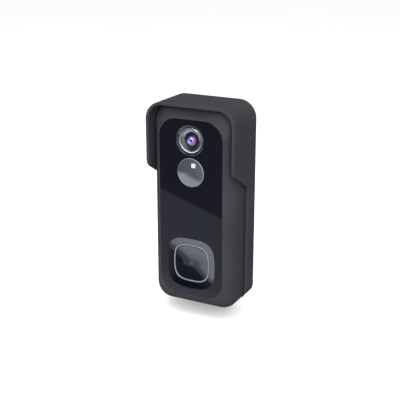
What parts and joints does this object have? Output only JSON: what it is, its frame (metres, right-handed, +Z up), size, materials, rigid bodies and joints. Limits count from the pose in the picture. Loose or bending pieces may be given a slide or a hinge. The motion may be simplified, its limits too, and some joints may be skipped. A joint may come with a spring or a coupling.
{
  "type": "video doorbell",
  "caption": "Wall-mounted battery video doorbell in a stepped rain hood: gloss front with camera, motion sensor lens and dished push button, on a screw-fixed bracket.",
  "frame": {"origin": "middle of the rain cover's back face, which lies flat on the wall", "axes": "+Z up, +Y into the wall, +X to the right as a visitor sees it, so the front faces -Y"},
  "size_m": [0.0672, 0.0352, 0.1466],
  "materials": {
    "cover_plastic": "fine moulded texture, matte",
    "bracket_plastic": "matte",
    "housing_plastic": "fine moulded texture, matte",
    "gloss_panel": "high gloss",
    "gloss_button": "high gloss",
    "ring_black": "satin",
    "ring_chrome": "polished",
    "lens_black": "matte",
    "lens_glass": "coated, polished",
    "pir_plastic": "milky, semi-gloss",
    "shroud_plastic": "matte",
    "light_guide": "translucent white",
    "silicone": "matte",
    "flap_rubber": "matte",
    "tape": "foam",
    "circuit_board": "solder mask",
    "chip_black": "moulded",
    "switch_plastic": "moulded",
    "plunger_plastic": "moulded",
    "lamp_clear": "clear",
    "shield_steel": "tinned",
    "screw_steel": "blackened",
    "nickel": "plated",
    "cell_can": "sleeved",
    "flat_cable": "polyimide",
    "wire_insulation": "smooth",
    "speaker_black": "matte",
    "speaker_paper": "pressed fibre"
  },
  "bodies": {
    "mount_set": {"rain_cover": "cover_plastic", "wall_bracket": "bracket_plastic"},
    "doorbell": {"front_housing": "housing_plastic", "rear_housing": "housing_plastic", "front_panel": "gloss_panel", "button_dish": "gloss_button", "camera_ring": "ring_black", "chrome_ring": "ring_chrome", "lens_cone": "lens_black", "lens_barrel": "lens_black", "lens_holder": "lens_black", "front_lens": "lens_glass", "middle_lens": "lens_glass", "rear_lens": "lens_glass", "ir_filter": "lens_glass", "pir_lens": "pir_plastic", "pir_shroud": "shroud_plastic", "battery_cradle": "shroud_plastic", "camera_spacers": "shroud_plastic", "light_ring": "light_guide", "housing_seal": "silicone", "button_gasket": "silicone", "button_pad": "silicone", "panel_tape": "tape", "main_board": "circuit_board", "camera_board": "circuit_board", "lamp_board": "circuit_board", "button_board": "circuit_board", "lower_board": "circuit_board", "board_chips": "chip_black", "image_sensor": "chip_black", "microphone": "chip_black", "switch_body": "switch_plastic", "tamper_switch": "switch_plastic", "reset_switch": "switch_plastic", "ir_lamps": "lamp_clear", "ring_lamps": "lamp_clear", "wifi_module": "shield_steel", "usb_socket": "shield_steel", "pir_sensor": "shield_steel", "housing_screws": "screw_steel", "board_screws": "screw_steel", "lock_screw": "screw_steel", "battery_strips": "nickel", "antenna": "nickel", "battery_cells": "cell_can", "camera_ribbon": "flat_cable", "button_ribbon": "flat_cable", "lower_ribbon": "flat_cable", "battery_leads": "wire_insulation", "antenna_lead": "wire_insulation", "speaker": "speaker_black", "speaker_mesh": "speaker_black", "speaker_cone": "speaker_paper"},
    "button": {"button_cap": "gloss_button"},
    "switch_plunger": {"switch_plunger": "plunger_plastic"},
    "reset_button": {"reset_button": "plunger_plastic"},
    "usb_flap": {"usb_flap": "flap_rubber"},
    "tamper_plunger": {"tamper_plunger": "plunger_plastic"}
  },
  "joints": [
    {"name": "unit_release", "type": "slide", "parent": "mount_set", "child": "doorbell", "axis": [0, -1, 0], "range_m": [0, 0.045]},
    {"name": "button_press", "type": "slide", "parent": "doorbell", "child": "button", "axis": [0, 1, 0], "range_m": [0, 0.00035], "stiffness_N_per_m": 600, "springref_m": -0.001},
    {"name": "switch_press", "type": "slide", "parent": "doorbell", "child": "switch_plunger", "axis": [0, 1, 0], "range_m": [0, 0.00035]},
    {"name": "reset_press", "type": "slide", "parent": "doorbell", "child": "reset_button", "axis": [0, 0, 1], "range_m": [0, 0.0004], "stiffness_N_per_m": 500, "springref_m": -0.0005},
    {"name": "flap_swing", "type": "hinge", "parent": "doorbell", "child": "usb_flap", "pos_m": [0.0107, -0.0128, -0.0715], "axis": [1, 0, 0], "range_deg": [0, 100]},
    {"name": "tamper_press", "type": "slide", "parent": "doorbell", "child": "tamper_plunger", "axis": [0, -1, 0], "range_m": [0, 0.0008], "stiffness_N_per_m": 300, "springref_m": -0.0005}
  ],
  "couplings": [
    {"joint": "switch_press", "follows": "button_press", "ratio": 1}
  ]
}
